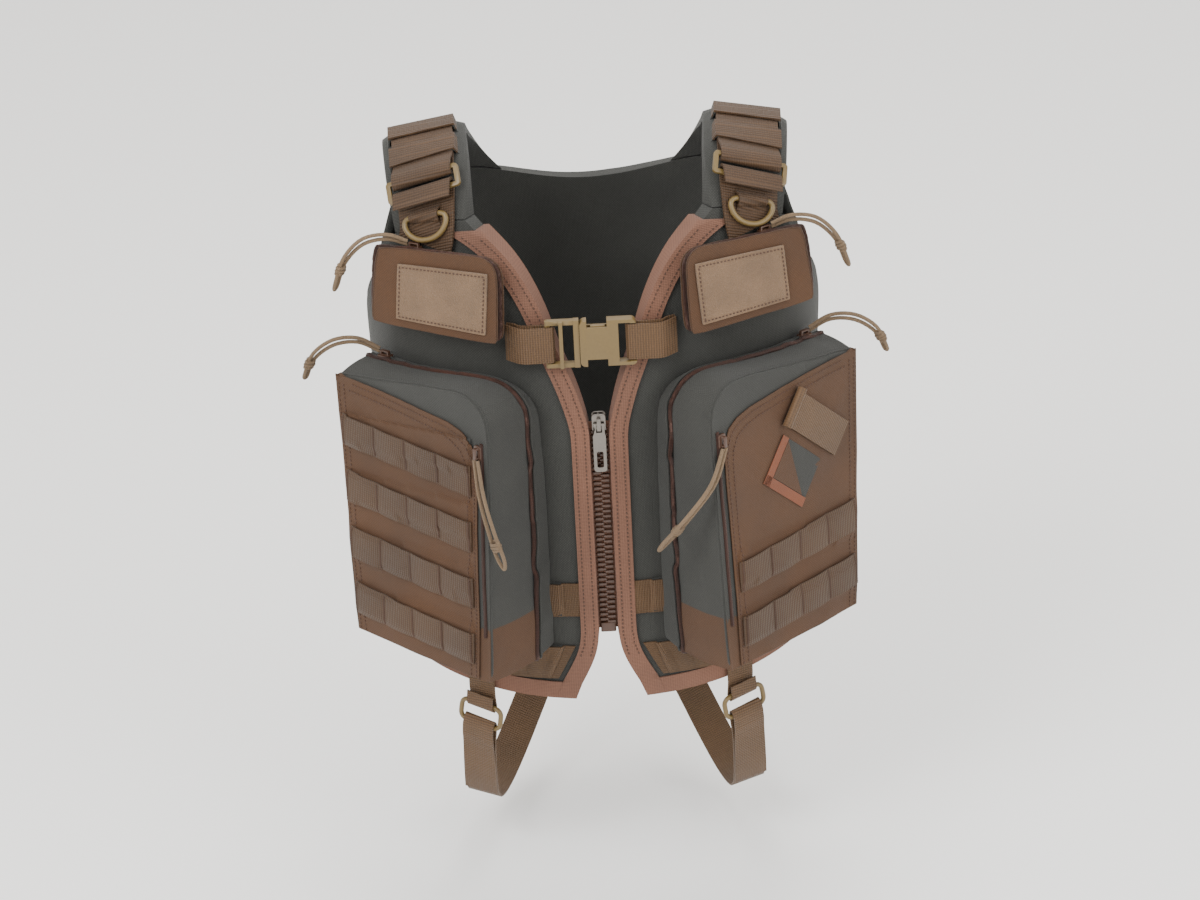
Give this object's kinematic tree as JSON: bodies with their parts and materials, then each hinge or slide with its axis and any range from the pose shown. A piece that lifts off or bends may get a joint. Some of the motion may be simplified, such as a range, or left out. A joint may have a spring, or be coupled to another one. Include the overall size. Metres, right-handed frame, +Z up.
{
  "type": "fishing vest",
  "caption": "Padded fishing vest with front zip, chest buckle, padded shoulders, chest pouches, large front pockets and leg straps.",
  "frame": {"origin": "midway between the two shoulder pads, at the height of their undersides", "axes": "+Z up as worn, -Y out of the wearer's chest, +X towards the wearer's left"},
  "size_m": [0.476, 0.3289, 0.6153],
  "materials": {
    "slate_fabric": "matt coated nylon pack cloth, fine plain weave",
    "foam": "closed-cell foam, matt",
    "brown_fabric": "matt coated nylon pack cloth, fine plain weave",
    "binding_tape": "ribbed grosgrain tape with double stitching",
    "webbing": "ribbed nylon webbing with a slight sheen",
    "loop_fabric": "fuzzy loop fastener",
    "tan_plastic": "moulded acetal, satin",
    "zip_steel": "plated zinc, polished with fine scratches",
    "zip_plastic": "moulded zip teeth and coil, semi-gloss",
    "tan_cord": "braided cord, matt"
  },
  "bodies": {
    "vest": {"cover_front_left": "slate_fabric", "cover_front_right": "slate_fabric", "foam_front_left": "foam", "foam_front_right": "foam", "binding_left": "binding_tape", "binding_right": "binding_tape", "zip_chain_left": "zip_plastic", "zip_chain_right": "zip_plastic", "shoulder_pad_left": "slate_fabric", "shoulder_pad_right": "slate_fabric", "front_webbing_left": "webbing", "front_webbing_right": "webbing", "adjuster_webbing_left": "webbing", "adjuster_webbing_right": "webbing", "ladder_buckle_left": "tan_plastic", "ladder_buckle_right": "tan_plastic", "chest_strap_left": "webbing", "chest_strap_right": "webbing", "pouch_base_left": "brown_fabric", "pouch_base_right": "brown_fabric", "pocket_base_left": "slate_fabric", "pocket_base_right": "slate_fabric", "leg_strap_left": "webbing", "leg_strap_right": "webbing", "leg_ring_left": "tan_plastic", "leg_ring_right": "tan_plastic", "hem_tab_left": "webbing", "hem_tab_right": "webbing", "cover_back": "slate_fabric", "foam_back": "foam", "buckle_socket": "tan_plastic"},
    "main_zip_slider": {"zip_slider": "zip_steel"},
    "main_zip_pull": {"zip_pull": "zip_steel"},
    "buckle_plug": {"buckle_plug": "tan_plastic"},
    "arm_upper": {"buckle_arm_upper": "tan_plastic"},
    "arm_lower": {"buckle_arm_lower": "tan_plastic"},
    "d_ring_left": {"d_ring_left": "tan_plastic"},
    "pouch_lid_left": {"pouch_lid_left": "brown_fabric", "loop_patch_left": "loop_fabric"},
    "pouch_slider_left": {"pouch_slider_left": "zip_plastic", "pouch_cord_left": "tan_cord"},
    "pocket_lid_left": {"pocket_lid_left": "brown_fabric", "holder_patch": "slate_fabric"},
    "pocket_slider_left": {"pocket_slider_left": "zip_plastic", "pocket_cord_left": "tan_cord"},
    "slot_slider_left": {"slot_slider_left": "zip_plastic", "slot_cord_left": "tan_cord"},
    "d_ring_right": {"d_ring_right": "tan_plastic"},
    "pouch_lid_right": {"pouch_lid_right": "brown_fabric", "loop_patch_right": "loop_fabric"},
    "pouch_slider_right": {"pouch_slider_right": "zip_plastic", "pouch_cord_right": "tan_cord"},
    "pocket_lid_right": {"pocket_lid_right": "brown_fabric"},
    "pocket_slider_right": {"pocket_slider_right": "zip_plastic", "pocket_cord_right": "tan_cord"},
    "slot_slider_right": {"slot_slider_right": "zip_plastic", "slot_cord_right": "tan_cord"},
    "holder_strap": {"holder_strap": "webbing"}
  },
  "joints": [
    {"name": "main_zip", "type": "slide", "parent": "vest", "child": "main_zip_slider", "axis": [0, 0.0289, -0.9996], "range_m": [0, 0.173]},
    {"name": "zip_pull_swing", "type": "hinge", "parent": "main_zip_slider", "child": "main_zip_pull", "pos_m": [0, -0.13073, -0.19323], "axis": [-1, 0, 0], "range_deg": [0, 150]},
    {"name": "buckle_release", "type": "slide", "parent": "vest", "child": "buckle_plug", "axis": [-1, 0, 0], "range_m": [0, 0.014]},
    {"name": "arm_upper_squeeze", "type": "hinge", "parent": "buckle_plug", "child": "arm_upper", "pos_m": [-0.012, -0.1365, -0.11], "axis": [0, 1, 0], "range_deg": [0, 7], "stiffness_Nm_per_rad": 0.05},
    {"name": "arm_lower_squeeze", "type": "hinge", "parent": "buckle_plug", "child": "arm_lower", "pos_m": [-0.012, -0.1365, -0.128], "axis": [0, -1, 0], "range_deg": [0, 7], "stiffness_Nm_per_rad": 0.05},
    {"name": "d_ring_swing_left", "type": "hinge", "parent": "vest", "child": "d_ring_left", "pos_m": [0.12974, -0.08109, -0.02712], "axis": [-0.8813, -0.3798, 0.2812], "range_deg": [0, 95]},
    {"name": "pouch_opening_left", "type": "hinge", "parent": "vest", "child": "pouch_lid_left", "pos_m": [0.12422, -0.11129, -0.11259], "axis": [0.848, 0.5299, 0], "range_deg": [0, 80]},
    {"name": "pouch_zip_left", "type": "slide", "parent": "vest", "child": "pouch_slider_left", "axis": [0.8518, 0.5236, -0.0159], "range_m": [0, 0.012]},
    {"name": "pocket_opening_left", "type": "hinge", "parent": "vest", "child": "pocket_lid_left", "pos_m": [0.15996, -0.08287, -0.3944], "axis": [0.7009, 0.7132, 0], "range_deg": [0, 80]},
    {"name": "pocket_zip_left", "type": "slide", "parent": "vest", "child": "pocket_slider_left", "axis": [-0.7302, -0.6823, 0.0367], "range_m": [0, 0.016]},
    {"name": "slot_zip_left", "type": "slide", "parent": "pocket_lid_left", "child": "slot_slider_left", "axis": [0.0324, -0.0318, -0.999], "range_m": [0, 0.15]},
    {"name": "d_ring_swing_right", "type": "hinge", "parent": "vest", "child": "d_ring_right", "pos_m": [-0.12974, -0.08109, -0.02712], "axis": [-0.8813, 0.3798, -0.2812], "range_deg": [0, 95]},
    {"name": "pouch_opening_right", "type": "hinge", "parent": "vest", "child": "pouch_lid_right", "pos_m": [-0.12422, -0.11129, -0.11259], "axis": [0.848, -0.5299, 0], "range_deg": [0, 80]},
    {"name": "pouch_zip_right", "type": "slide", "parent": "vest", "child": "pouch_slider_right", "axis": [-0.8518, 0.5236, -0.0159], "range_m": [0, 0.012]},
    {"name": "pocket_opening_right", "type": "hinge", "parent": "vest", "child": "pocket_lid_right", "pos_m": [-0.15996, -0.08287, -0.3944], "axis": [0.7009, -0.7132, 0], "range_deg": [0, 80]},
    {"name": "pocket_zip_right", "type": "slide", "parent": "vest", "child": "pocket_slider_right", "axis": [0.7302, -0.6823, 0.0367], "range_m": [0, 0.016]},
    {"name": "slot_zip_right", "type": "slide", "parent": "pocket_lid_right", "child": "slot_slider_right", "axis": [-0.0324, -0.0318, -0.999], "range_m": [0, 0.15]},
    {"name": "holder_strap_lift", "type": "hinge", "parent": "pocket_lid_left", "child": "holder_strap", "pos_m": [0.19436, -0.09061, -0.23358], "axis": [0.4257, 0.4828, 0.7653], "range_deg": [0, 90]}
  ]
}
